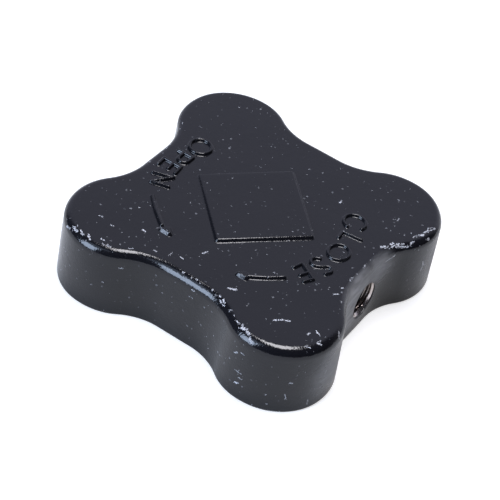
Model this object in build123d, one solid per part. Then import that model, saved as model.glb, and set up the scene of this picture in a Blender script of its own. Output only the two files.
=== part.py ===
from build123d import *
from math import sqrt
import os

# Four-lobed valve knob: one cored zinc die casting, and the set screw that grips the valve stem.
# The origin is on the axis in the plane of the rim, +Z is up through the flat top, and the set
# screw comes in through the flat on the +Y side. The lobes lie on the diagonals.

# Outside of the casting, in plan at the rim
width_across_lobes = 63.5
lobe_radius = 9.95
flat_from_axis = 21.3
valley_radius = 10.85

# Outside of the casting, in height
height = 13.0
draft = 2.0  # degrees, the lean that frees every wall from the die
top_edge_radius = 1.4

# Cored underside
rim_wall = 2.8
top_web = 3.2
rib_width = 2.4
rib_setback = 1.6
hub_setback = 0.5
corner_radius = 1.4
ceiling_chamfer = 0.6

# Stem socket in the hub
stem_diameter = 9.525
stem_clearance = 0.05
hub_wall = 3.5
mouth_chamfer = 0.5

# Set screw, quarter inch thread, three eighths long, with a hexagon socket and a cup point
screw_diameter = 6.35
screw_length = 9.525
thread_clearance = 0.06
tip_gap = 0.3
boss_wall = 2.4
hole_height = 5.5
hole_offset = -1.3  # the hole is drilled a little off the middle of its flat
socket_across_flats = 3.175
socket_depth = 3.2
cup_diameter = 3.35
cup_depth = 0.9
head_chamfer = 0.5

# Sizes that follow from those above
stem_radius = stem_diameter / 2 + stem_clearance
hub_radius = stem_radius + hub_wall
core_depth = height - top_web
hole_radius = screw_diameter / 2 + thread_clearance
boss_width = 2 * (hole_radius + boss_wall)
tip_from_axis = stem_radius + tip_gap


def quarter_turn(points):
    """The points turned by 90 degrees about the axis, with no rounding error."""
    return [Vector(-point.Y, point.X) for point in points]


def plan(inset):
    """Closed outline of the knob drawn inwards by inset: a short flat across each side, four
    round lobes on the diagonals, and a hollow curve that is tangent to both."""
    lobe = lobe_radius - inset
    valley = valley_radius + inset
    flat = flat_from_axis - inset
    reach = (width_across_lobes / 2 - lobe_radius) / sqrt(2)
    half_flat = reach - sqrt((lobe + valley) ** 2 - (flat + valley - reach) ** 2)
    lobe_centre = Vector(-reach, reach)
    valley_centre = Vector(-half_flat, flat + valley)
    joint = lobe_centre + (valley_centre - lobe_centre) * (lobe / (lobe + valley))
    bisector = joint - valley_centre + Vector(0, -valley)
    valley_middle = valley_centre + bisector.normalized() * valley
    flat_ends = [Vector(half_flat, flat), Vector(-half_flat, flat)]
    into_lobe = [flat_ends[1], valley_middle, joint]
    out_of_lobe = [Vector(-point.Y, -point.X) for point in reversed(into_lobe)]
    over_lobe = [joint, lobe_centre + Vector(-1, 1).normalized() * lobe, out_of_lobe[0]]
    edges = []
    for side in range(4):
        edges.append(Line(*flat_ends))
        edges += [ThreePointArc(*points) for points in (into_lobe, over_lobe, out_of_lobe)]
        flat_ends = quarter_turn(flat_ends)
        into_lobe = quarter_turn(into_lobe)
        over_lobe = quarter_turn(over_lobe)
        out_of_lobe = quarter_turn(out_of_lobe)
    return make_face(Wire(edges))


def screw_boss_plan():
    """Arm that carries the tapped hole from the hub out to the rim wall on +Y."""
    arm = Rectangle(boss_width, flat_from_axis, align=(Align.CENTER, Align.MIN))
    return Pos(hole_offset, 0) * arm


def rib_plan():
    """Three ribs from the hub out to the other flats: -Y, +X and -X."""
    single = Rectangle(rib_width, flat_from_axis, align=(Align.CENTER, Align.MAX))
    return single + Rectangle(2 * flat_from_axis, rib_width)


def core():
    """What the die's core leaves open: a pocket under each lobe, and the setbacks of the ribs and
    of the hub above the rim. Its walls lean inwards by the draft as they rise."""
    inside = plan(rim_wall)
    round_the_hub = inside - Circle(hub_radius) - screw_boss_plan()
    pockets = offset(offset(round_the_hub - rib_plan(), -corner_radius), corner_radius)
    solid = extrude(pockets, core_depth, taper=draft)
    ceiling_edges = solid.edges().group_by(Axis.Z)[-1]
    solid = chamfer(ceiling_edges, ceiling_chamfer)
    solid += extrude(round_the_hub, rib_setback, taper=draft)
    solid += extrude(inside, hub_setback, taper=draft)
    return solid


def stem_socket():
    """Blind round hole for the valve stem, with a lead-in chamfer at its mouth."""
    hole = extrude(Circle(stem_radius), core_depth)
    lead_in = Cone(
        stem_radius + mouth_chamfer,
        stem_radius,
        mouth_chamfer,
        align=(Align.CENTER, Align.CENTER, Align.MIN),
    )
    return hole + Pos(0, 0, hub_setback) * lead_in


def knob_body():
    casting = extrude(plan(0), height, taper=draft)
    top_edges = casting.edges().group_by(Axis.Z)[-1]
    casting = fillet(top_edges, top_edge_radius)
    drill = extrude(Circle(hole_radius), flat_from_axis + rim_wall)
    tapped_hole = Pos(hole_offset, 0, hole_height) * Rot(-90, 0, 0) * drill
    return casting - core() - stem_socket() - tapped_hole


def set_screw():
    """Turned blank with a cup point towards the stem and a hexagon socket at its outer end."""
    radius = screw_diameter / 2
    point = cup_diameter / 2
    profile = Polyline(
        (0, cup_depth),
        (point, 0),
        (radius, radius - point),
        (radius, screw_length - head_chamfer),
        (radius - head_chamfer, screw_length),
        (0, screw_length),
        close=True,
    )
    blank = revolve(Plane.XZ * make_face(profile), Axis.Z)
    hexagon = RegularPolygon(socket_across_flats / 2, 6, major_radius=False)
    blank -= Pos(0, 0, screw_length - socket_depth) * extrude(hexagon, socket_depth)
    return Pos(hole_offset, tip_from_axis, hole_height) * Rot(-90, 0, 0) * blank


nodes = {
    "knob_body": knob_body(),
    "set_screw": set_screw(),
}

os.makedirs("parts", exist_ok=True)
for name, solid in nodes.items():
    solid.label = name
    export_step(solid, f"parts/{name}.step")
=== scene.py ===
import math

import bmesh
import bpy
import numpy as np
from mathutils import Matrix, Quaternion, Vector


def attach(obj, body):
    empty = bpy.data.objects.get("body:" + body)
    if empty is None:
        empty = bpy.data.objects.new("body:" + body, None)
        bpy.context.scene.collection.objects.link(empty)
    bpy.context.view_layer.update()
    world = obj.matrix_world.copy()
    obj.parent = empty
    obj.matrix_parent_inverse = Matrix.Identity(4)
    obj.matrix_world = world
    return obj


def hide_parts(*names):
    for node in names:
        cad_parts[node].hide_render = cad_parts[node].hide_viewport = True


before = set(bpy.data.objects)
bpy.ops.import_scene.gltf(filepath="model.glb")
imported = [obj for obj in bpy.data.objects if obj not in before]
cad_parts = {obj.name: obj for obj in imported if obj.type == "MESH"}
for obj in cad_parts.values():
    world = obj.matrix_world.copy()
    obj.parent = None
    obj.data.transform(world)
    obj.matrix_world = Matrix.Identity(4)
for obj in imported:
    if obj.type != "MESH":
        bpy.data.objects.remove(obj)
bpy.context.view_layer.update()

# The knob's outer skin: a zinc die casting with four lobes, a short flat between each pair and a rounded top
# edge. Its sides lean in, so that it leaves the die, and its skin is a few hundredths of a millimetre uneven.
width_across_lobes = 63.5
flat_from_axis = 21.3
lobe_radius = 9.95
valley_radius = 10.85
lobe_centre = (width_across_lobes / 2 - lobe_radius) / math.sqrt(2)
valley_centre = flat_from_axis + valley_radius
half_flat = lobe_centre - math.sqrt((lobe_radius + valley_radius) ** 2 - (valley_centre - lobe_centre) ** 2)
height = 12.88
draft = math.radians(2.0)
foot_edge_radius = 0.3
skin_depth = 0.022


def outline(step):
    """Points round the foot of the knob and their outward normals, anticlockwise from the middle of the +X
    flat. A quarter is half a flat, an inward arc, the lobe's arc, another inward arc and half a flat, in
    points about step apart. The other quarters are the first one turned by 90, 180 and 270 degrees."""
    bend = math.atan2(lobe_centre - half_flat, valley_centre - lobe_centre)
    along_flat = np.arange(0, 1, step / half_flat)
    along_valley = np.arange(0, 1, step / (valley_radius * bend))
    along_lobe = np.arange(0, 1, step / (lobe_radius * (math.pi / 2 + 2 * bend)))
    angles = np.concatenate([
        0 * along_flat,
        -bend * along_valley,
        -bend + (math.pi / 2 + 2 * bend) * along_lobe,
        math.pi / 2 + bend * (1 - along_valley),
        math.pi / 2 + 0 * along_flat,
    ])
    normals = np.stack([np.cos(angles), np.sin(angles)], 1)
    in_valley = slice(len(along_flat), len(along_flat) + len(along_valley))
    on_lobe = slice(in_valley.stop, in_valley.stop + len(along_lobe))
    in_next_valley = slice(on_lobe.stop, on_lobe.stop + len(along_valley))
    points = np.empty_like(normals)
    points[:in_valley.start] = np.stack([flat_from_axis + 0 * along_flat, half_flat * along_flat], 1)
    points[in_valley] = (valley_centre, half_flat) - valley_radius * normals[in_valley]
    points[on_lobe] = (lobe_centre, lobe_centre) + lobe_radius * normals[on_lobe]
    points[in_next_valley] = (half_flat, valley_centre) - valley_radius * normals[in_next_valley]
    points[in_next_valley.stop:] = np.stack([half_flat * (1 - along_flat), flat_from_axis + 0 * along_flat], 1)
    quarters = [np.array([[cos, sin], [-sin, cos]]) for cos, sin in ((1, 0), (0, 1), (-1, 0), (0, -1))]
    return [np.concatenate([vectors @ quarter for quarter in quarters]) for vectors in (points, normals)]


def depth_inside(x, y):
    """How far each point lies inside the foot's outline, and the outward normal there. Folded into one eighth
    of the knob, a point is next to the flat, to the inward arc or to the lobe, by which side of the line
    between the two arcs' centres it lies on."""
    a, b = np.maximum(abs(x), abs(y)), np.minimum(abs(x), abs(y))
    to_valley = np.stack([a - valley_centre, b - half_flat])
    to_lobe = np.stack([a - lobe_centre, b - lobe_centre])
    from_valley, from_lobe = np.hypot(*to_valley), np.hypot(*to_lobe)
    side = (lobe_centre - valley_centre) * to_valley[1] - (lobe_centre - half_flat) * to_valley[0]
    by_flat, by_valley = b <= half_flat, (b > half_flat) & (side > 0)
    valley_depth, lobe_depth = from_valley - valley_radius, lobe_radius - from_lobe
    depth = np.select([by_flat, by_valley], [flat_from_axis - a, valley_depth], lobe_depth)
    valley_normal, lobe_normal = -to_valley / from_valley, to_lobe / from_lobe
    normal_a = np.select([by_flat, by_valley], [1 + 0 * a, valley_normal[0]], lobe_normal[0])
    normal_b = np.select([by_flat, by_valley], [0 * a, valley_normal[1]], lobe_normal[1])
    x_leads = abs(x) >= abs(y)
    nx = np.where(x_leads, normal_a, normal_b) * np.where(x < 0, -1, 1)
    ny = np.where(x_leads, normal_b, normal_a) * np.where(y < 0, -1, 1)
    return depth, nx, ny


def unevenness(p):
    """How far the casting's skin lies from its true place at each point: along each axis a sum of two or
    three slow sine waves, 8 to 12 mm long and up to 0.05 mm high in all. The foot stays level, as the knob
    stands on it, and the height reaches its full waviness 2 mm up."""
    x, y, z = p.T
    level = np.clip(z / 2, 0, 1)
    return skin_depth * np.stack([
        np.sin(0.61 * y + 0.35 * z + 1.1)
        + 0.7 * np.sin(0.31 * x - 0.43 * z + 0.4)
        + 0.5 * np.sin(0.52 * x + 0.57 * y),
        np.sin(0.55 * x - 0.40 * z + 2.3)
        + 0.7 * np.sin(0.36 * y + 0.39 * z)
        + 0.5 * np.sin(0.49 * x - 0.62 * y + 0.8),
        level * (0.6 * np.sin(0.42 * x + 0.30 * y + 0.2) + 0.4 * np.sin(0.33 * x - 0.51 * y + 1.9)),
    ], 1)


def grid_faces(rows, columns, closed):
    """Four-sided faces of a grid of points, each row joined to the next. Where it is closed, the last column
    joins the first. Columns that run anticlockwise and rows that run up the side make faces that point
    outwards."""
    row, left = np.meshgrid(np.arange(rows - 1), np.arange(columns if closed else columns - 1), indexing="ij")
    right = (left + 1) % columns
    this_row, next_row = row * columns, (row + 1) * columns
    return np.stack([this_row + left, this_row + right, next_row + right, next_row + left], -1).reshape(-1, 4)


def new_piece(name, surfaces, sharp_angle, material):
    """A mesh object of surfaces, each an array of points in mm and one of faces, with the points where they
    meet merged. Edges that turn by more than sharp_angle, in degrees, stay sharp. Blender works in metres."""
    weld_distance = 2e-7
    points, faces, start = [], [], 0
    for surface_points, surface_faces in surfaces:
        points.append(surface_points)
        faces.extend((surface_faces + start).tolist())
        start += len(surface_points)
    mesh = bpy.data.meshes.new(name)
    mesh.from_pydata(np.concatenate(points) * 0.001, [], faces)
    welded = bmesh.new()
    welded.from_mesh(mesh)
    bmesh.ops.remove_doubles(welded, verts=welded.verts, dist=weld_distance)
    welded.to_mesh(mesh)
    welded.free()
    mesh.shade_smooth()
    mesh.set_sharp_from_angle(angle=math.radians(sharp_angle))
    piece = bpy.data.objects.new(name, mesh)
    bpy.context.scene.collection.objects.link(piece)
    mesh.materials.append(material)
    return piece


def linear(hex_colour):
    """The linear colour of an sRGB hex value: a channel up to 0.04045 is divided by 12.92, and above that it
    is ((c + 0.055) / 1.055) to the power 2.4."""
    channels = [int(hex_colour[i:i + 2], 16) / 255 for i in (1, 3, 5)]
    return (*(c / 12.92 if c <= 0.04045 else ((c + 0.055) / 1.055) ** 2.4 for c in channels), 1.0)


def add_node(tree, kind, inputs=None, **settings):
    """Adds one node with its settings. Each input is given a value, or a socket that is linked to it."""
    node = tree.nodes.new(kind)
    for name, value in settings.items():
        setattr(node, name, value)
    for key, value in (inputs or {}).items():
        if isinstance(value, bpy.types.NodeSocket):
            tree.links.new(value, node.inputs[key])
        else:
            node.inputs[key].default_value = value
    return node


# Where the paint is knocked off, to the pale zinc or only scuffed. The larger nicks and scratches lie about
# where the photo shows them, and between them small nicks come in runs along the rounded top edge, most on the
# two near lobes. The marks on the two arrows and the run along the +X flat are painted glints instead, pale
# dots where those surfaces catch the light. Each is a line between two points, with a half width and how pale
# it is, up to 1.
top_edge_radius = 1.4
edge_radius_change = 0.3
towards_camera = (0.9, 0.44)
arrow_glint_height = 0.32


def edge_radius_at(x, y):
    """Radius of the rounded top edge: top_edge_radius level with the axis, edge_radius_change more at the end
    towards the camera, as much less at the far end, and even in between."""
    nearer = towards_camera[0] * x + towards_camera[1] * y
    return top_edge_radius + edge_radius_change * nearer / (width_across_lobes / 2)


def outline_at(angle):
    """The foot's outline and its outward normal at angles round the axis, in degrees, as x, y, nx and ny."""
    edge, outward = outline(0.1)
    around = np.degrees(np.arctan2(edge[:, 1], edge[:, 0]))
    return [np.interp(angle, around, values, period=360) for values in (*edge.T, *outward.T)]


def on_side(angle, up):
    """The point of the side at an angle round the axis, in degrees, and a height above the foot."""
    x, y, nx, ny = outline_at(angle)
    inset = up * math.tan(draft)
    return np.stack([x - inset * nx, y - inset * ny, up + 0 * x], -1)


def on_top_edge(angle, inset):
    """The point of the rounded top edge at an angle round the axis, in degrees, and a distance inside the
    outline. Its height is that of the edge's arc, and past the arc that of the flat top."""
    x, y, nx, ny = outline_at(angle)
    radius = edge_radius_at(x, y)
    arc_start = (height - radius * (1 - math.sin(draft))) * math.tan(draft)
    cosine = np.clip(math.cos(draft) - (inset - arc_start) / radius, 0, 1)
    return np.stack([x - inset * nx, y - inset * ny, height - radius * (1 - np.sqrt(1 - cosine ** 2))], -1)


def on_top(x, y):
    """The point of the flat top at x and y."""
    return np.array([x, y, height])


def on_arrow(x, y):
    """The point of a raised arrow at x and y, a little below its crown."""
    return np.array([x, y, height + arrow_glint_height])


large_marks = [
    # on top, by x and y: the front lobe, the near middle, the left lobe, then the right one
    (on_top, (17.5, 17.5), (18, 16.5), 0.12, 1), (on_top, (18, 16.5), (19, 15.5), 0.13, 0.95),
    (on_top, (16.5, 21.5), (17, 22.5), 0.12, 0.95), (on_top, (17.5, 21), (18, 21), 0.12, 0.8),
    (on_top, (17.5, 7.5), (18, 6.5), 0.18, 0.9), (on_top, (13.5, -0.5), (14.5, -1), 0.1, 0.9),
    (on_top, (17.5, -2.5), (17.5, -3), 0.12, 0.9), (on_top, (17.5, -4.5), (18.5, -4.5), 0.11, 0.45),
    (on_top, (19, -6.5), (19, -7), 0.12, 0.65), (on_top, (16.5, -10.5), (16.5, -11), 0.14, 1),
    (on_top, (22.5, -14), (22.5, -14.5), 0.15, 0.8), (on_top, (19, -15), (19, -15.5), 0.12, 0.9),
    (on_top, (18.5, -18), (18.5, -17.5), 0.11, 0.7), (on_top, (8, 19.5), (7.5, 20), 0.11, 0.9),
    (on_top, (-11.5, 9), (-11, 9), 0.16, 0.85), (on_top, (-14.5, 18.5), (-13.5, 18.5), 0.08, 0.45),
    # on the two arrows, by x and y: painted glints, pale dots where the arrowheads catch the light
    (on_arrow, (14.5, 6), (14.5, 6.5), 0.12, 0.9), (on_arrow, (15, 6.5), (15, 7), 0.1, 0.6),
    (on_arrow, (14.5, -9), (14.5, -7.5), 0.1, 0.55),
    # on the rounded edge, by angle and distance inside the outline: left lobe, front lobe, right lobe
    (on_top_edge, (318, 0.5), (320, 0.7), 0.15, 0.65), (on_top_edge, (320.5, 1.2), (322.5, 1.2), 0.2, 0.8),
    (on_top_edge, (323, 1.8), (325, 1.5), 0.13, 0.9), (on_top_edge, (326, 2.2), (328, 1.5), 0.14, 1),
    (on_top_edge, (332.5, 1.8), (334.5, 1.8), 0.11, 0.7), (on_top_edge, (26, 1.5), (27, 1.5), 0.2, 0.95),
    (on_top_edge, (28, 1.5), (29, 1.5), 0.19, 0.95), (on_top_edge, (30, 1), (31, 0.8), 0.19, 0.7),
    (on_top_edge, (48, 1.7), (49, 1.4), 0.12, 0.95), (on_top_edge, (52, 1.7), (53, 1.3), 0.14, 0.95),
    (on_top_edge, (60, 0.6), (61, 1), 0.2, 0.5), (on_top_edge, (110, 1), (112, 0.8), 0.18, 0.9),
    (on_top_edge, (117, 2), (118, 1.7), 0.2, 1), (on_top_edge, (119, 2), (121, 1.8), 0.12, 0.85),
    # on the side, by angle and height: left lobe, flat, front lobe, its foot, the hole's wall, right lobe
    (on_side, (334, 6.5), (334.3, 6.5), 0.1, 0.55), (on_side, (337, 10), (338, 10), 0.1, 0.8),
    (on_side, (5, 11.5), (6, 11.5), 0.14, 0.9), (on_side, (4.5, 10), (5.5, 10), 0.1, 0.55),
    (on_side, (27, 8.5), (28, 9), 0.1, 0.8), (on_side, (29, 9.5), (30, 9.5), 0.1, 0.85),
    (on_side, (28.5, 5.5), (30.5, 5.5), 0.09, 0.6), (on_side, (29.5, 6), (29.5, 5), 0.08, 0.5),
    (on_side, (30, 4.5), (31, 4.5), 0.1, 0.7), (on_side, (29, 3), (30.5, 3.5), 0.12, 0.95),
    (on_side, (38, 3.5), (38.3, 3.5), 0.13, 0.85), (on_side, (43.5, 4), (44, 3), 0.11, 0.7),
    (on_side, (44, 6.5), (45, 6.5), 0.13, 0.95), (on_side, (51, 2), (51, 1), 0.11, 0.7),
    (on_side, (55, 5), (56.5, 5), 0.08, 0.55), (on_side, (55.5, 6.5), (56, 7), 0.1, 0.7),
    (on_side, (37, 0.1), (38.5, 0.1), 0.11, 0.85), (on_side, (40, 0.2), (43, 0.2), 0.11, 0.85),
    (on_side, (81, 3), (82, 2), 0.08, 0.45), (on_side, (92, 2.5), (92.5, 2.5), 0.14, 0.9),
    (on_side, (105, 11), (108.5, 11.5), 0.12, 1), (on_side, (118, 8), (118.5, 7), 0.14, 1),
    (on_side, (118.5, 7), (118, 6), 0.14, 1),
]
nick_and_glint_runs = [
    # first and last angle, how many, least and most distance inside the outline, longest, widest, palest
    # the first run, along the +X flat, is painted glints on the edge's dark band, not nicks
    (-3, 16, 9, 1.2, 1.5, 0.2, 0.12, 0.9),
    (14, 31, 17, 0.8, 1.7, 0.6, 0.16, 0.95),
    (48, 58, 5, 1.3, 2.2, 0.5, 0.12, 0.8),
    (69, 94, 9, 1.3, 1.8, 0.5, 0.13, 0.95),
    (106, 124, 20, 0.7, 2.2, 0.7, 0.18, 1.0),
    (247, 300, 6, 0.8, 1.2, 0.4, 0.11, 0.7),
    (317, 340, 10, 0.6, 2.2, 0.5, 0.13, 0.8),
]


def nick_and_glint_run(dice, first, last, count, least, most, longest, widest, palest):
    """A run of nicks along the top edge, drawn at random between the bounds; the run along the +X flat is
    painted glints instead. Each lies at any slant to the edge: its length times the slant's cosine runs along
    the edge, and times the sine across it."""
    shortest, narrowest, faintest = 0.08, 0.07, 0.6
    degrees_per_mm = 2.3
    inset_per_mm = 0.6
    angle, inset = dice.uniform(first, last, count), dice.uniform(least, most, count)
    length, slant = dice.uniform(shortest, longest, count), dice.uniform(0, math.pi, count)
    along_edge, across_edge = length * np.cos(slant), length * np.sin(slant)
    start = on_top_edge(angle, inset)
    end = on_top_edge(angle + degrees_per_mm * along_edge, inset + inset_per_mm * across_edge)
    half_width, pale = dice.uniform(narrowest, widest, count), dice.uniform(faintest, 1, count) * palest
    return np.concatenate([start, end, half_width[:, None], pale[:, None]], 1)


dice = np.random.default_rng(5)
# one row for each nick and each painted glint: x, y and z of its start and of its end, half width, and how
# pale it is
chips_and_glints = np.concatenate([
    [[*place(*start), *place(*end), half_width, pale] for place, start, end, half_width, pale in large_marks],
    *(nick_and_glint_run(dice, *run) for run in nick_and_glint_runs),
])


def chip_and_glint_near_faces(piece):
    """Gives each face of a piece the nearest of the nicks and painted glints, for the paint to draw: the
    distance from the face's centre to each line is taken at the line's nearest point, less the half width, and
    the smallest one wins."""
    mesh = piece.data
    centre = np.empty(len(mesh.polygons) * 3, np.float32)
    mesh.polygons.foreach_get("center", centre)
    centre = centre.reshape(-1, 3) * 1000
    nearest, gap = np.zeros(len(centre), int), np.full(len(centre), np.inf)
    for number, (start, end, half_width) in enumerate(zip(chips_and_glints[:, :3], chips_and_glints[:, 3:6], chips_and_glints[:, 6])):
        span = end - start
        share = np.clip((centre - start) @ span / (span @ span), 0, 1)
        away = np.linalg.norm(centre - start - share[:, None] * span, axis=1) - half_width
        nearest, gap = np.where(away < gap, number, nearest), np.minimum(away, gap)
    chip_and_glint = chips_and_glints[nearest]
    chip_and_glint_start = mesh.attributes.new("chip_and_glint_start", "FLOAT_VECTOR", "FACE")
    chip_and_glint_start.data.foreach_set("vector", chip_and_glint[:, :3].ravel())
    chip_and_glint_span = mesh.attributes.new("chip_and_glint_span", "FLOAT_VECTOR", "FACE")
    chip_and_glint_span.data.foreach_set("vector", (chip_and_glint[:, 3:6] - chip_and_glint[:, :3]).ravel())
    mesh.attributes.new("chip_and_glint_width", "FLOAT", "FACE").data.foreach_set("value", chip_and_glint[:, 6])
    mesh.attributes.new("chip_and_glint_pale", "FLOAT", "FACE").data.foreach_set("value", chip_and_glint[:, 7])


dust_and_sheen_patches = [
    # the middle of the patch, its reach, and how strong its dust and painted sheen are there, cut off at 1
    ((2.5, 21, 7), 9.5, 1.6),
    ((-4, 21, 10), 5.0, 1.0),
    ((14, 25, 6), 7.5, 0.7),
    ((-20, 24.5, 6), 8.5, 0.9),
]


def dust_and_sheen_on_points(piece):
    """Gives each point of a piece its share of dust and painted sheen, for the paint to draw: pale dust that
    also stands in for the sheen of reflections on the sides. Each patch falls from its middle to 0 at its
    reach as the cosine does, and the strongest one counts. All of it fades out between dust_and_sheen_full and
    dust_and_sheen_end inside the foot's outline, so the top and the underside's middle have none."""
    dust_and_sheen_full, dust_and_sheen_end = 0.9, 1.6
    point = np.empty(len(piece.data.vertices) * 3, np.float32)
    piece.data.vertices.foreach_get("co", point)
    point = point.reshape(-1, 3) * 1000
    dust_and_sheen = np.zeros(len(point))
    for middle, reach, most in dust_and_sheen_patches:
        away = np.linalg.norm(point - middle, axis=1)
        dust_and_sheen = np.maximum(dust_and_sheen, most * (0.5 + 0.5 * np.cos(math.pi * np.minimum(away / reach, 1))))
    depth = depth_inside(point[:, 0], point[:, 1])[0]
    dust_and_sheen = np.clip(dust_and_sheen, 0, 1) * np.clip((dust_and_sheen_end - depth) / (dust_and_sheen_end - dust_and_sheen_full), 0, 1)
    piece.data.attributes.new("dust_and_sheen", "FLOAT", "POINT").data.foreach_set("value", dust_and_sheen)


# Gloss black powder coat, baked on the raw casting: an even film with the fine ripple called orange peel,
# which breaks up its highlights. It is dusty and nicked from use, and where it is knocked off the chalky zinc
# shows pale. The pale dust on the sides is partly painted sheen, lighter where they catch reflections, and
# some pale dots are painted glints.
black_paint, pale_dust_and_sheen, chalky_zinc_and_glint = linear("#131317"), linear("#a8a8aa"), linear("#c6c7cc")
# repeats per millimetre: the orange peel's waves are about 1.1 mm apart, its grain and the torn edges of the
# nicks 0.3 mm, the crumbs of paint left in them 0.2 mm, and the streaks of dust and painted sheen are 2.5 mm
# long and 0.8 mm high
peel_scale = 0.9
grain_scale = 3.6
torn_scale = 3.5
torn_reach = 0.6
crumb_scale = 4.5
streak_scale = (0.4, 0.4, 1.3)
speck_sizes = [
    # cells per millimetre, share of the cells that stay clean, radius of the largest speck, how pale it is
    (0.45, 0.84, 0.17, 0.8),
    (1.1, 0.9, 0.15, 0.5),
    (2.6, 0.92, 0.18, 0.3),
]
paint = bpy.data.materials.new("black_powder_coat_on_zinc")
paint.use_nodes = True
paint.node_tree.nodes.clear()
tree = paint.node_tree
place = add_node(tree, "ShaderNodeTexCoord").outputs["Object"]
mm = add_node(tree, "ShaderNodeVectorMath", {0: place, "Scale": 1000.0}, operation="SCALE").outputs[0]
peel = add_node(tree, "ShaderNodeTexNoise", {"Vector": mm, "Scale": peel_scale, "Detail": 2.0}).outputs["Fac"]
grain = add_node(
    tree, "ShaderNodeTexNoise", {"Vector": mm, "Scale": grain_scale, "Detail": 3.0},
).outputs["Fac"]
ripple = add_node(tree, "ShaderNodeBump", {"Strength": 0.5, "Distance": 0.00006, "Height": peel}).outputs[0]
skin = add_node(
    tree, "ShaderNodeBump", {"Strength": 0.45, "Distance": 0.00004, "Height": grain, "Normal": ripple},
).outputs[0]
# every point is moved by up to half of torn_reach at random, so that nicks and specks have torn edges
ragged = add_node(
    tree, "ShaderNodeTexNoise", {"Vector": mm, "Scale": torn_scale, "Detail": 3.0},
).outputs["Color"]
shift = add_node(
    tree, "ShaderNodeVectorMath", {0: ragged, 1: (0.5, 0.5, 0.5)}, operation="SUBTRACT",
).outputs[0]
torn = add_node(
    tree, "ShaderNodeVectorMath", {0: shift, 1: (torn_reach,) * 3, 2: mm}, operation="MULTIPLY_ADD",
).outputs[0]
# how many half widths a point is from its face's pale mark, the nicks and painted glints alike: pale within
# 0.8 of one, black paint past 1.3
start = add_node(tree, "ShaderNodeAttribute", attribute_name="chip_and_glint_start").outputs["Vector"]
span = add_node(tree, "ShaderNodeAttribute", attribute_name="chip_and_glint_span").outputs["Vector"]
half_width = add_node(tree, "ShaderNodeAttribute", attribute_name="chip_and_glint_width").outputs["Fac"]
chip_and_glint_pale = add_node(tree, "ShaderNodeAttribute", attribute_name="chip_and_glint_pale").outputs["Fac"]
from_start = add_node(tree, "ShaderNodeVectorMath", {0: torn, 1: start}, operation="SUBTRACT").outputs[0]
reach = add_node(
    tree, "ShaderNodeVectorMath", {0: from_start, 1: span}, operation="DOT_PRODUCT",
).outputs["Value"]
square = add_node(tree, "ShaderNodeVectorMath", {0: span, 1: span}, operation="DOT_PRODUCT").outputs["Value"]
share = add_node(tree, "ShaderNodeMath", {0: reach, 1: square}, operation="DIVIDE", use_clamp=True).outputs[0]
foot = add_node(tree, "ShaderNodeVectorMath", {0: span, "Scale": share}, operation="SCALE").outputs[0]
away = add_node(tree, "ShaderNodeVectorMath", {0: from_start, 1: foot}, operation="DISTANCE").outputs["Value"]
widths_away = add_node(tree, "ShaderNodeMath", {0: away, 1: half_width}, operation="DIVIDE").outputs[0]
in_chip_and_glint = add_node(
    tree, "ShaderNodeMapRange",
    {"Value": widths_away, "From Min": 1.3, "From Max": 0.8, "To Min": 0.0, "To Max": chip_and_glint_pale},
).outputs[0]
crumbs = add_node(
    tree, "ShaderNodeTexNoise", {"Vector": mm, "Scale": crumb_scale, "Detail": 2.0},
).outputs["Fac"]
left_over = add_node(
    tree, "ShaderNodeMapRange", {"Value": crumbs, "From Min": 0.38, "From Max": 0.5},
).outputs[0]
bare_and_glint = add_node(tree, "ShaderNodeMath", {0: in_chip_and_glint, 1: left_over}, operation="MULTIPLY").outputs[0]
for scale, clean, largest, palest in speck_sizes:
    cells = add_node(tree, "ShaderNodeTexVoronoi", {"Vector": torn, "Scale": scale})
    pick = add_node(tree, "ShaderNodeSeparateColor", {0: cells.outputs["Color"]}).outputs
    size = add_node(
        tree, "ShaderNodeMapRange",
        {"Value": pick[0], "From Min": clean, "From Max": 1.0, "To Min": 0.0, "To Max": largest * scale},
    ).outputs[0]
    distance = cells.outputs["Distance"]
    dot = add_node(tree, "ShaderNodeMath", {0: distance, 1: size}, operation="LESS_THAN").outputs[0]
    strength = add_node(tree, "ShaderNodeMath", {0: pick[1], 1: palest}, operation="MULTIPLY").outputs[0]
    dot = add_node(tree, "ShaderNodeMath", {0: dot, 1: strength}, operation="MULTIPLY").outputs[0]
    bare_and_glint = add_node(tree, "ShaderNodeMath", {0: bare_and_glint, 1: dot}, operation="MAXIMUM").outputs[0]
streaks = add_node(tree, "ShaderNodeVectorMath", {0: mm, 1: streak_scale}, operation="MULTIPLY").outputs[0]
streak = add_node(tree, "ShaderNodeTexNoise", {"Vector": streaks, "Scale": 1.0, "Detail": 3.0}).outputs["Fac"]
# dust and painted sheen: the patches' pale dust, which also lightens the sides as their reflections would
dust_and_sheen = add_node(tree, "ShaderNodeAttribute", attribute_name="dust_and_sheen").outputs["Fac"]
uneven = add_node(
    tree, "ShaderNodeMapRange",
    {"Value": streak, "From Min": 0.3, "From Max": 0.65, "To Min": 0.5, "To Max": 1.0},
).outputs[0]
dust_and_sheen = add_node(tree, "ShaderNodeMath", {0: dust_and_sheen, 1: uneven}, operation="MULTIPLY").outputs[0]
coat = add_node(tree, "ShaderNodeMix", {0: dust_and_sheen, 6: black_paint, 7: pale_dust_and_sheen}, data_type="RGBA").outputs[2]
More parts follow.
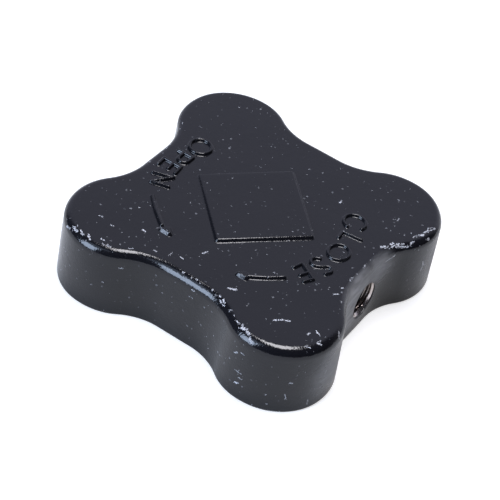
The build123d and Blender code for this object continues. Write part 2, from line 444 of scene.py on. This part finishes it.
# pale where nicks bare the zinc, and where glints are painted
colour = add_node(tree, "ShaderNodeMix", {0: bare_and_glint, 6: coat, 7: chalky_zinc_and_glint}, data_type="RGBA").outputs[2]
dull = add_node(tree, "ShaderNodeMath", {0: bare_and_glint, 1: dust_and_sheen}, operation="MAXIMUM").outputs[0]
roughness = add_node(
    tree, "ShaderNodeMapRange", {"Value": dull, "From Max": 0.5, "To Min": 0.13, "To Max": 0.45},
).outputs[0]
finish = add_node(
    tree, "ShaderNodeBsdfPrincipled",
    {"Base Color": colour, "Roughness": roughness, "Normal": skin, "IOR": 1.5},
)
add_node(tree, "ShaderNodeOutputMaterial", {"Surface": finish.outputs[0]})

# The skin is one grid of rows round the outline: two hidden rows behind the foot's rounded edge, that edge,
# the drafted side, the rounded top edge, and the flat top, whose rows shrink to the axis.
straight_side_end = 11.0
hidden_height, hidden_inset = [0.15, 0.04], [0.6, 0.4]
foot_turn = np.radians(np.linspace(0, 90, 6))
foot_inset = foot_edge_radius * (1 - np.sin(foot_turn))
foot_height = foot_edge_radius * (1 - np.cos(foot_turn))
side_height = np.linspace(foot_edge_radius, straight_side_end, 33)[1:]
edge, outward = outline(0.33)
columns = len(edge)
edge_radius = edge_radius_at(*edge.T)
top_turn = np.linspace(draft, math.pi / 2, 14)[:, None]
arc_centre = height - edge_radius
arc_height = arc_centre + edge_radius * np.sin(top_turn)
arc_inset = edge_radius * (math.cos(draft) - np.cos(top_turn)) + arc_height[0] * math.tan(draft)
low_height = np.concatenate([hidden_height, foot_height, side_height])
foot_inset += foot_height * math.tan(draft)
low_inset = np.concatenate([hidden_inset, foot_inset, side_height * math.tan(draft)])
row_height = np.concatenate([low_height[:, None] + 0 * edge_radius, arc_height])
row_inset = np.concatenate([low_inset[:, None] + 0 * edge_radius, arc_inset])
side_rows = len(row_height)
side = np.empty((side_rows, columns, 3))
side[:, :, :2] = edge - row_inset[:, :, None] * outward
side[:, :, 2] = row_height
shrink = np.linspace(1, 0, 42)[1:]
top = np.empty((len(shrink), columns, 3))
top[:, :, :2] = shrink[:, None, None] * side[-1, :, :2]
top[:, :, 2] = height
skin_points = np.concatenate([side, top])
rows = len(skin_points)
skin_faces = grid_faces(rows, columns, closed=True)

# The tapped hole in the +Y flat. The grid above leaves a window there, and a patch of wall fills it, from the
# window's edge in to the hole's mouth, whose rim the tap left a little torn.
hole_x, hole_z = -1.3, 5.5
mouth_mean_radius = 3.3
window_x, window_z = (2.75, -5.6), (1.3, 9.7)
patch_rows = 8
first_column, last_column = (
    int(np.argmin(np.hypot(edge[:, 0] - x, edge[:, 1] - flat_from_axis))) for x in window_x
)
first_row, last_row = (int(np.argmin(abs(low_height - z))) for z in window_z)
face_row, face_column = np.divmod(np.arange(len(skin_faces)), columns)
in_window = (
    (face_row >= first_row) & (face_row < last_row)
    & (face_column >= first_column) & (face_column < last_column)
)
skin_faces = skin_faces[~in_window]


def wall_y(x, z):
    """Where the knob's +Y wall lies: flat over the short flat, and past it on the inward arc, whose radius
    grows and whose centre stays as the wall leans in with height."""
    lean = z * math.tan(draft)
    past = np.maximum(abs(x) - half_flat, 0)
    return valley_centre - np.sqrt((valley_radius + lean) ** 2 - past ** 2)


window = np.concatenate([
    skin_points[first_row:last_row, first_column],
    skin_points[last_row, first_column:last_column],
    skin_points[last_row:first_row:-1, last_column],
    skin_points[first_row, last_column:first_column:-1],
])
window_angle = np.arctan2(window[:, 2] - hole_z, window[:, 0] - hole_x)
around = np.stack([np.cos(window_angle), np.sin(window_angle)], 1)
mouth_radius = mouth_mean_radius + 0.03 * np.sin(5 * window_angle + 1) + 0.02 * np.sin(11 * window_angle)
mouth = (hole_x, hole_z) + mouth_radius[:, None] * around
share = np.linspace(0, 1, patch_rows)[:, None, None] ** 1.3
patch = np.empty((patch_rows, len(window), 3))
patch[:, :, [0, 2]] = mouth + share * (window[:, [0, 2]] - mouth)
patch[:, :, 1] = wall_y(patch[:, :, 0], patch[:, :, 2])
patch[-1] = window
lip_depth = np.array([0.5, 0.3, 0.1, 0.03])
lip_inset = np.array([0.07, 0.07, 0.05, 0.02])
lip = np.empty((len(lip_depth), len(window), 3))
lip[:, :, [0, 2]] = (hole_x, hole_z) + (mouth_radius - lip_inset[:, None])[:, :, None] * around
lip[:, :, 1] = patch[0, :, 1] - lip_depth[:, None]
mouth_points = np.concatenate([lip, patch])
mouth_faces = grid_faces(len(mouth_points), len(window), closed=True)

# The underside, cored out as such castings are: rim wall, three ribs, and a hub for the stem with an arm to
# the tapped hole. The CAD node has that shape, so its faces inside the outer skin are taken over.
half_rim_wall = 1.4
below_top = 0.5
on_the_floor = 0.01
foot_overlap = 0.02
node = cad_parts["knob_body"]
core_points = np.empty(len(node.data.vertices) * 3)
node.data.vertices.foreach_get("co", core_points)
core_points = core_points.reshape(-1, 3) * 1000
core_faces = np.empty(len(node.data.polygons) * 3, int)
node.data.polygons.foreach_get("vertices", core_faces)
core_faces = core_faces.reshape(-1, 3)
centre = core_points[core_faces].mean(1)
normal = np.cross(
    core_points[core_faces[:, 1]] - core_points[core_faces[:, 0]],
    core_points[core_faces[:, 2]] - core_points[core_faces[:, 0]],
)
# the faces taken are those deeper than half the rim wall and under the flat top, and those of the foot
foot_face = (normal[:, 2] < -0.9 * np.linalg.norm(normal, axis=1)) & (centre[:, 2] < on_the_floor)
depth = depth_inside(centre[:, 0], centre[:, 1])[0]
inside = (depth > half_rim_wall) & (centre[:, 2] < height - below_top)
core_faces = core_faces[foot_face | inside]
# the foot's outer edge is drawn in, to meet the skin's rounded one
depth, nx, ny = depth_inside(core_points[:, 0], core_points[:, 1])
rim = (core_points[:, 2] < on_the_floor) & (depth < 0.1)
core_points[rim, 0] -= (foot_edge_radius + foot_overlap) * nx[rim]
core_points[rim, 1] -= (foot_edge_radius + foot_overlap) * ny[rim]

surfaces = [
    (skin_points.reshape(-1, 3), skin_faces),
    (mouth_points.reshape(-1, 3), mouth_faces),
    (core_points, core_faces),
]
surfaces = [(p + unevenness(p), f) for p, f in surfaces]
knob = new_piece("knob", surfaces, 40, paint)
chip_and_glint_near_faces(knob)
dust_and_sheen_on_points(knob)
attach(knob, "root")
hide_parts("knob_body")

# The raised marks on top, cut into the die and so cast with the knob: the words and arrows that say which way
# it turns, and a square pad that is left bare. Their walls are steep, with a small radius at the foot and on
# top, and they start a little below the skin.
close_height, pad_height = 0.4, 0.48
open_height = 0.46  # the arrows have it too
sunk = 0.04


def wall_section(mark_height, foot_radius, crown_radius, steepest, middle):
    """The section of a raised mark's side, from its foot to its crown, as offset and height: a hollow arc up
    to the steepest angle, a straight wall and a rounded arc back to level. The straight wall's middle has the
    offset given."""
    slope = np.radians(np.linspace(0, steepest, 9))
    sine, rise = np.sin(slope), 1 - np.cos(slope)
    straight = mark_height - (foot_radius + crown_radius) * rise[-1]
    half_run = straight / math.tan(slope[-1]) / 2
    foot_offset = middle + half_run + foot_radius * (sine[-1] - sine)
    crown_offset = middle - half_run - crown_radius * (sine[-1] - sine)
    foot = np.stack([foot_offset, foot_radius * rise], 1)
    crown = np.stack([crown_offset, mark_height - crown_radius * rise], 1)[::-1]
    return np.concatenate([[(foot[0, 0] + sunk, -sunk)], foot, crown])


def stroke_section(mark_height, *wall):
    """The section of a stroke's right half: its wall, and then the crown's height on the path itself."""
    return np.concatenate([wall_section(mark_height, *wall), [(0.0, mark_height)]])


close_section = stroke_section(close_height, 0.19, 0.22, 74, 0.26)
open_section = stroke_section(open_height, 0.21, 0.24, 75, 0.29)
shaft_section = stroke_section(open_height, 0.26, 0.3, 74, 0.31)


def smooth_path(corners, count=12):
    """A path through the corners as a Catmull-Rom spline: each point is a cubic mix of the four corners about
    it, and past either end the path goes straight on. Two corners give a straight line."""
    corners = np.array(corners, float)
    if len(corners) == 2:
        return corners
    held = np.concatenate([[2 * corners[0] - corners[1]], corners, [2 * corners[-1] - corners[-2]]])
    t = np.linspace(0, 1, count, endpoint=False)[:, None]
    spans = [
        0.5 * (2 * b + (c - a) * t + (2 * a - 5 * b + 4 * c - d) * t ** 2 + (3 * b - a - 3 * c + d) * t ** 3)
        for a, b, c, d in zip(held, held[1:], held[2:], held[3:])
    ]
    return np.concatenate(spans + [corners[-1:]])


def arc(centre, radii, start, end, count=40):
    """Points along an ellipse from one angle to another, in degrees: the radii times cosine and sine."""
    t = np.radians(np.linspace(start, end, count))
    return np.stack([centre[0] + radii[0] * np.cos(t), centre[1] + radii[1] * np.sin(t)], 1)


def along(path):
    """The direction of a path at each of its points, from the point before to the point after."""
    step = np.gradient(path, axis=0)
    return step / np.hypot(*step.T)[:, None]


def stroke(path, section):
    """A raised stroke with round ends: its section is carried down the path's right side, round the end, back
    up the left side and round the start, and its crown closes on the path."""
    direction = along(path)
    right = np.stack([direction[:, 1], -direction[:, 0]], 1)
    fan = np.radians(np.linspace(0, 180, 13))[1:-1, None]
    end_cap = np.cos(fan) * right[-1] + np.sin(fan) * direction[-1]
    start_cap = -np.cos(fan) * right[0] - np.sin(fan) * direction[0]
    normals = np.concatenate([right, end_cap, -right[::-1], start_cap])
    end_point, start_point = np.repeat(path[-1:], len(fan), 0), np.repeat(path[:1], len(fan), 0)
    base = np.concatenate([path, end_point, path[::-1], start_point])
    points = np.empty((len(section), len(base), 3))
    points[:, :, :2] = base + section[:, 0, None, None] * normals
    points[:, :, 2] = height + section[:, 1, None]
    return points.reshape(-1, 3), grid_faces(len(section), len(base), closed=True)


def ring(path, section):
    """A raised stroke along a closed path: the whole section is carried round it, from the outer foot over
    the top to the inner foot."""
    section = np.concatenate([section, section[-2::-1] * (-1, 1)])
    before, after = np.roll(path, 1, 0), np.roll(path, -1, 0)
    direction = (after - before) / np.hypot(*(after - before).T)[:, None]
    outer = np.stack([direction[:, 1], -direction[:, 0]], 1)
    points = np.empty((len(section), len(path), 3))
    points[:, :, :2] = path + section[:, 0, None, None] * outer
    points[:, :, 2] = height + section[:, 1, None]
    return points.reshape(-1, 3), grid_faces(len(section), len(path), closed=True)


def raised_polygon(corners, corner_radius, section):
    """A flat raised shape with rounded corners: each corner turns in an arc between its two sides, the
    section runs round the polygon, and the last row shrinks to the middle in steps."""
    corners = np.array(corners, float)
    step = np.roll(corners, -1, 0) - corners
    step /= np.hypot(*step.T)[:, None]
    angle = np.arctan2(-step[:, 0], step[:, 1])
    turn = (angle - np.roll(angle, 1)) % (2 * math.pi)
    fan = np.linspace(0, 1, 7)
    angles = (np.roll(angle, 1) + turn * fan[:, None]).T
    normals = np.stack([np.cos(angles), np.sin(angles)], -1)
    inwards = -corner_radius / np.cos(turn / 2)
    middle_angle = np.roll(angle, 1) + turn / 2
    centres = corners + inwards[:, None] * np.stack([np.cos(middle_angle), np.sin(middle_angle)], 1)
    loop = (centres[:, None] + corner_radius * normals).reshape(-1, 2)
    normals = normals.reshape(-1, 2)
    rows_out = loop + section[:, 0, None, None] * normals
    steps_in = np.linspace(1, 0, 13)[1:, None, None]
    rows_in = loop.mean(0) + steps_in * (rows_out[-1] - loop.mean(0))
    heights = np.concatenate([section[:, 1], np.full(len(steps_in), section[-1, 1])])
    points = np.empty((len(heights), len(loop), 3))
    points[:, :, :2] = np.concatenate([rows_out, rows_in])
    points[:, :, 2] = height + heights[:, None]
    return points.reshape(-1, 3), grid_faces(len(heights), len(loop), closed=True)


# The paths are in mm, seen from above, and each word's letters come in reading order.
close_word = [
    stroke(arc((-8.4, 13.45), (1.78, 1.88), 66, 346), close_section),
    stroke(smooth_path([(-5.45, 16.4), (-5.05, 13.15)]), close_section),
    stroke(smooth_path([(-5.05, 13.15), (-3.55, 13.3)]), close_section),
    ring(arc((-0.53, 15.2), (1.9, 1.68), 0, 352.5, 48), close_section),
    stroke(smooth_path([
        (5.2, 16.2), (4.4, 16.65), (3.6, 16.4), (3.55, 15.65), (4.15, 14.95), (4.7, 14.1), (4.65, 13.25),
        (3.95, 12.75), (3.2, 13.05), (2.8, 13.7),
    ]), close_section),
    stroke(smooth_path([(7.55, 15.35), (5.75, 12.15)]), close_section),
    stroke(smooth_path([(7.55, 15.35), (8.95, 14.5)]), close_section),
    stroke(smooth_path([(6.75, 14.0), (8.15, 13.3)]), close_section),
    stroke(smooth_path([(5.75, 12.15), (7.35, 11.6)]), close_section),
]
bowl_of_p = np.concatenate([[(-3.1, -15.3)], arc((-1.8, -16.2), (0.85, 0.9), 90, -90), [(-3.1, -17.1)]])
open_word = [
    ring(arc((-6.38, -16.0), (1.85, 1.88), 0, 352.5, 48), open_section),
    stroke(smooth_path([(-3.1, -15.3), (-3.1, -18.2)]), open_section),
    stroke(bowl_of_p, open_section),
    stroke(smooth_path([(0.25, -15.3), (0.25, -18.7)]), open_section),
    stroke(smooth_path([(0.25, -15.3), (2.05, -15.1)]), open_section),
    stroke(smooth_path([(0.25, -16.85), (1.85, -16.7)]), open_section),
    stroke(smooth_path([(0.25, -18.7), (2.05, -18.55)]), open_section),
    stroke(smooth_path([(3.15, -14.7), (4.35, -18.0)]), open_section),
    stroke(smooth_path([(3.15, -14.7), (6.35, -16.9)]), open_section),
    stroke(smooth_path([(5.55, -14.0), (6.35, -16.9)]), open_section),
]
arrowhead_section = wall_section(open_height, 0.16, 0.16, 43, 0.0)
arrows = [
    stroke(smooth_path([(10.3, 11.7), (12.35, 9.55), (14.0, 7.4)]), shaft_section),
    raised_polygon([(13.3, 6.7), (14.85, 4.9), (14.8, 8.1)], 0.4, arrowhead_section),
    stroke(smooth_path([(9.15, -14.6), (11.5, -12.2), (13.7, -9.4)]), shaft_section),
    raised_polygon([(14.75, -9.8), (14.85, -6.5), (13.1, -8.0)], 0.4, arrowhead_section),
]
pad_section = wall_section(pad_height, 0.36, 0.4, 68, 0.0)
pad_corners = [(-0.2, -12.1), (10.95, -0.8), (-0.45, 10.45), (-11.9, -0.9)]
marks = close_word + open_word + arrows + [raised_polygon(pad_corners, 0.45, pad_section)]
raised_marks = new_piece("raised_marks", [(p + unevenness(p), f) for p, f in marks], 60, paint)
chip_and_glint_near_faces(raised_marks)
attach(raised_marks, "root")

# The thread in the tapped hole, cut after the casting was painted, so it is bare zinc: quarter inch, 20 turns
# to the inch. It runs from just inside the mouth to the stem's socket. The tap left it bright at the mouth;
# further in its colour darkens to painted shade, for the shadow deep in the hole.
thread_root_radius = 3.235
thread_crest_radius = 2.62
pitch = 1.27
rows_in_a_turn = 14
thread_inner_end, thread_outer_end = 4.84, 21.0
painted_shade_start, painted_shade_full = 20.5, 19.2
dull_zinc, bright_zinc, painted_shade_zinc = linear("#cbbfba"), linear("#f2e9e5"), linear("#2a2320")
tapped_zinc = bpy.data.materials.new("tapped_bare_zinc")
tapped_zinc.use_nodes = True
tapped_zinc.node_tree.nodes.clear()
tree = tapped_zinc.node_tree
place = add_node(tree, "ShaderNodeTexCoord").outputs["Object"]
mm = add_node(tree, "ShaderNodeVectorMath", {0: place, "Scale": 1000.0}, operation="SCALE").outputs[0]
smear = add_node(tree, "ShaderNodeTexNoise", {"Vector": mm, "Scale": 1.3, "Detail": 4.0}).outputs["Fac"]
cut = add_node(tree, "ShaderNodeMix", {0: smear, 6: dull_zinc, 7: bright_zinc}, data_type="RGBA").outputs[2]
place_y = add_node(tree, "ShaderNodeSeparateXYZ", {0: mm}).outputs[1]
# painted shade: the colour darkens deeper into the hole, where shadow falls
painted_shade = add_node(
    tree, "ShaderNodeMapRange", {"Value": place_y, "From Min": painted_shade_start, "From Max": painted_shade_full},
    interpolation_type="SMOOTHSTEP",
).outputs[0]
colour = add_node(tree, "ShaderNodeMix", {0: painted_shade, 6: cut, 7: painted_shade_zinc}, data_type="RGBA").outputs[2]
finish = add_node(
    tree, "ShaderNodeBsdfPrincipled", {"Base Color": colour, "Metallic": 1.0, "Roughness": 0.25},
)
add_node(tree, "ShaderNodeOutputMaterial", {"Surface": finish.outputs[0]})


def thread_radius(angle, y):
    """Radius of the right-hand thread at each angle about the hole's axis and each y: a trapezoid wave that
    goes once round in one pitch, with a fifth of it at the root, a fifth at the crest and the rest in the
    flanks."""
    turn = (y / pitch + angle / (2 * math.pi)) % 1
    crest = np.clip((2 * abs(turn - 0.5) - 0.2) / 0.6, 0, 1)
    return thread_root_radius - (thread_root_radius - thread_crest_radius) * crest


thread_angle = np.radians(np.arange(0, 360, 5))
thread_y = np.arange(thread_inner_end, thread_outer_end, pitch / rows_in_a_turn)
angle, y = np.meshgrid(thread_angle, thread_y)
radius = thread_radius(angle, y)
# the thread ends just inside the wall, where the tap's lead-in opens it to the root at 45 degrees
mouth_y = wall_y(hole_x + radius * np.cos(angle), hole_z + radius * np.sin(angle)) - 0.08
radius = np.maximum(radius, np.minimum(thread_root_radius, thread_root_radius + y - mouth_y))
thread_points = np.stack([
    hole_x + radius * np.cos(angle), np.minimum(y, mouth_y), hole_z + radius * np.sin(angle),
], -1)
hole_thread = new_piece(
    "hole_thread",
    [(thread_points.reshape(-1, 3), grid_faces(len(thread_y), len(thread_angle), closed=True))],
    60,
    tapped_zinc,
)
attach(hole_thread, "root")

# The set screw that grips the stem, well down its hole: a headless steel screw, turned and threaded, with a
# hex socket at the outer end and a cup point at the inner one, which bites on the stem. Black oxide leaves it
# dark grey and half dull.
screw_length = 9.525
stem_socket_radius = 4.8125
tip_gap = 0.3
thread_clearance = 0.06
hex_across_flats = 3.175
hex_depth, drill_point_depth, hex_chamfer = 3.2, 3.9, 0.15
head_radius, tip_radius = 2.55, 2.1
chamfer_start, chamfer_slope = 2.6, 1.2
cup_radius, cup_depth = 1.675, 0.9
black_oxide, worn_oxide = linear("#2f2f31"), linear("#5a5856")
oiled_steel = bpy.data.materials.new("black_oxide_steel")
oiled_steel.use_nodes = True
oiled_steel.node_tree.nodes.clear()
tree = oiled_steel.node_tree
place = add_node(tree, "ShaderNodeTexCoord").outputs["Object"]
mm = add_node(tree, "ShaderNodeVectorMath", {0: place, "Scale": 1000.0}, operation="SCALE").outputs[0]
smear = add_node(tree, "ShaderNodeTexNoise", {"Vector": mm, "Scale": 0.9, "Detail": 3.0}).outputs["Fac"]
colour = add_node(
    tree, "ShaderNodeMix", {0: smear, 6: black_oxide, 7: worn_oxide}, data_type="RGBA",
).outputs[2]
finish = add_node(tree, "ShaderNodeBsdfPrincipled", {"Base Color": colour, "Metallic": 1.0, "Roughness": 0.4})
add_node(tree, "ShaderNodeOutputMaterial", {"Surface": finish.outputs[0]})
screw_tip = stem_socket_radius + tip_gap
screw_head = screw_tip + screw_length
# a hexagon's radius is half its width over the cosine of the angle from the middle of the nearest side
hex_radius = hex_across_flats / 2 / np.cos((thread_angle + math.pi / 6) % (math.pi / 3) - math.pi / 6)
screw_y = np.arange(screw_head - 0.02, screw_tip, -pitch / rows_in_a_turn)
# rows of radius and y: the socket from its bottom out, the thread between two chamfered ends, and the cup
screw_rows = [
    (0 * hex_radius, screw_head - drill_point_depth),
    (hex_radius, screw_head - hex_depth),
    (hex_radius, screw_head - hex_chamfer),
    (hex_radius + hex_chamfer, screw_head),
    (0 * hex_radius + head_radius, screw_head),
]
for y in screw_y:
    chamfered_end = chamfer_start + chamfer_slope * min(screw_head - y, y - screw_tip)
    screw_rows.append((np.minimum(thread_radius(thread_angle, y) - thread_clearance, chamfered_end), y))
screw_rows += [
    (0 * hex_radius + tip_radius, screw_tip),
    (0 * hex_radius + cup_radius, screw_tip),
    (0 * hex_radius, screw_tip + cup_depth),
]
screw_radius = np.array([radius for radius, y in screw_rows])
screw_points = np.stack([
    hole_x + screw_radius * np.cos(thread_angle),
    0 * screw_radius + np.array([y for radius, y in screw_rows])[:, None],
    hole_z + screw_radius * np.sin(thread_angle),
], -1)
set_screw = new_piece(
    "set_screw_threaded",
    [(screw_points.reshape(-1, 3), grid_faces(len(screw_points), len(thread_angle), closed=True))],
    38,
    oiled_steel,
)
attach(set_screw, "root")
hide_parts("set_screw")

# The studio: a plain white paper floor under the knob, a surround that is pale on the side away from the
# camera, and soft lamps that show in the paint as bands. The camera sees the paper brighter than the knob's
# lamps make it, and the paint mirrors it a little brighter too.
seen_glow, mirrored_glow = 0.62, 0.21
floor_reach, floor_drop = 3, 0.00003
floor_paper = bpy.data.materials.new("white_paper_floor")
floor_paper.use_nodes = True
floor_paper.node_tree.nodes.clear()
tree = floor_paper.node_tree
path = add_node(tree, "ShaderNodeLightPath").outputs
mirrored = add_node(
    tree, "ShaderNodeMath", {0: path["Is Glossy Ray"], 1: mirrored_glow}, operation="MULTIPLY",
).outputs[0]
top_up = add_node(
    tree, "ShaderNodeMath", {0: path["Is Camera Ray"], 1: seen_glow, 2: mirrored}, operation="MULTIPLY_ADD",
).outputs[0]
paper = add_node(tree, "ShaderNodeBsdfDiffuse", {"Color": linear("#c8c8c8")})
glow = add_node(tree, "ShaderNodeEmission", {"Color": (1, 1, 1, 1), "Strength": top_up})
both = add_node(tree, "ShaderNodeAddShader", {0: paper.outputs[0], 1: glow.outputs[0]})
add_node(tree, "ShaderNodeOutputMaterial", {"Surface": both.outputs[0]})
floor_mesh = bpy.data.meshes.new("floor")
floor_corners = [(-1, -1), (1, -1), (1, 1), (-1, 1)]
floor_points = [(floor_reach * x, floor_reach * y, -floor_drop) for x, y in floor_corners]
floor_mesh.from_pydata(floor_points, [], [(0, 1, 2, 3)])
floor_mesh.materials.append(floor_paper)
floor = bpy.data.objects.new("floor", floor_mesh)
bpy.context.scene.collection.objects.link(floor)

world = bpy.data.worlds.new("pale_surround")
bpy.context.scene.world = world
world.use_nodes = True
world.node_tree.nodes.clear()
tree = world.node_tree
towards = add_node(tree, "ShaderNodeTexCoord").outputs["Generated"]
# away from the camera, and a little up
far_side = (-0.893, -0.437, 0.1)
behind = add_node(
    tree, "ShaderNodeVectorMath", {0: towards, 1: far_side}, operation="DOT_PRODUCT",
).outputs["Value"]
pale = add_node(
    tree, "ShaderNodeMapRange",
    {"Value": behind, "From Min": 0.42, "From Max": 0.68, "To Min": 0.03, "To Max": 0.68},
    interpolation_type="SMOOTHSTEP",
).outputs[0]
surround = add_node(tree, "ShaderNodeBackground", {"Color": linear("#e4e7ff"), "Strength": pale})
add_node(tree, "ShaderNodeOutputWorld", {"Surface": surround.outputs[0]})


def soft_lamp(name, towards, size, roll, power, colour):
    """A rectangular lamp a metre from the knob in the direction given, which faces the knob and is turned by
    roll degrees."""
    lamp = bpy.data.lights.new(name, "AREA")
    lamp.shape = "RECTANGLE"
    lamp.size, lamp.size_y = size
    lamp.energy = power
    lamp.color = linear(colour)[:3]
    holder = bpy.data.objects.new(name, lamp)
    direction = Vector(towards).normalized()
    holder.location = direction
    holder.rotation_mode = "QUATERNION"
    holder.rotation_quaternion = direction.to_track_quat("Z", "Y") @ Quaternion((0, 0, 1), math.radians(roll))
    bpy.context.scene.collection.objects.link(holder)
    return holder


soft_lamp("overhead_softbox", (-0.13, -0.02, 1.0), (0.33, 0.54), 32, 8.1, "#faf9ff")
soft_lamp("window_softbox", (0.77, -0.4, 0.45), (0.46, 0.74), 0, 12.8, "#c8daf6")
soft_lamp("window_blind", (0.46, -0.24, 0.85), (0.46, 0.24), 0, 0.5, "#c8daf6")

# The camera, where the photographer's was: a quarter of a metre off, between the +X flat and the lobe next to
# it, nearly as far above the knob as beside it, with a long lens. It looks at a point 4 mm beyond the knob's
# axis and is rolled 11 degrees.
camera_place = (0.1675147, 0.0820321, 0.1763181)
camera_aim = (-0.00387, -0.00194, -0.00006)
camera_roll = 11.362
lens_data = bpy.data.cameras.new("camera")
lens_data.lens = 110.4
lens_data.sensor_width = 36.0
lens_data.clip_start = 0.01
lens_data.clip_end = 20.0
camera = bpy.data.objects.new("camera", lens_data)
camera.location = camera_place
forwards = (Vector(camera_aim) - camera.location).normalized()
camera.rotation_mode = "QUATERNION"
roll = Quaternion((0, 0, 1), math.radians(camera_roll))
camera.rotation_quaternion = forwards.to_track_quat("-Z", "Y") @ roll
bpy.context.scene.collection.objects.link(camera)
bpy.context.scene.camera = camera
bpy.context.scene.view_settings.view_transform = "Standard"
